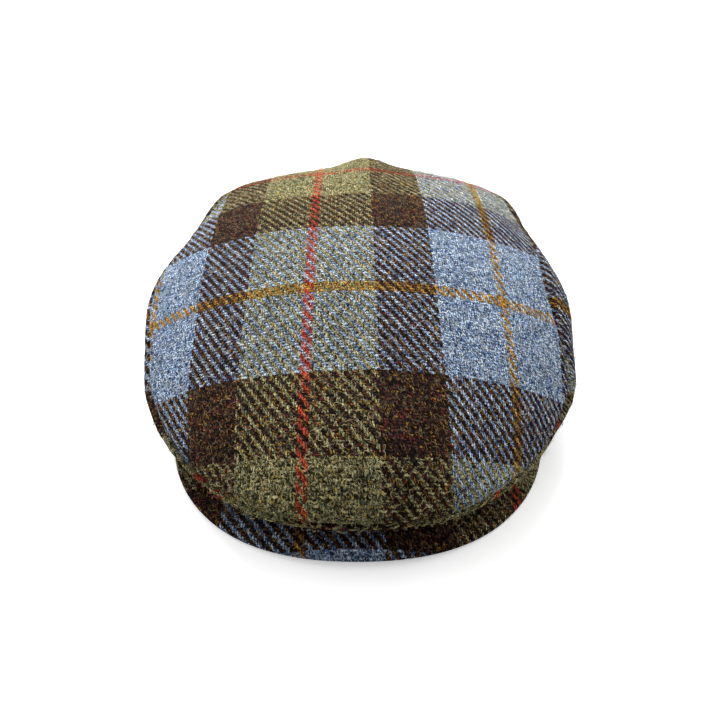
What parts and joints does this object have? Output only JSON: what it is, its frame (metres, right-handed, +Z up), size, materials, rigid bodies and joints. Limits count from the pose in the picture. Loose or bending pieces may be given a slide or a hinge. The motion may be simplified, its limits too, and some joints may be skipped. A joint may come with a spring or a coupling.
{
  "type": "flat cap",
  "caption": "Tartan tweed flat cap with a one-piece crown top rolled over a short stiff peak, two side panels and an open head hollow.",
  "frame": {"origin": "middle of the bottom of the cap's box, on the surface it rests on", "axes": "+Z up, -Y towards the peak, +X towards the wearer's left"},
  "size_m": [0.2138, 0.2932, 0.0868],
  "materials": {
    "tweed_top": "matt woollen tweed with a tartan check",
    "tweed_side": "matt woollen tweed with a tartan check",
    "tweed_peak": "matt woollen tweed over a stiff board"
  },
  "bodies": {
    "root": {"top_panel": "tweed_top", "side_panel_left": "tweed_side", "side_panel_right": "tweed_side", "peak": "tweed_peak"}
  },
  "joints": []
}
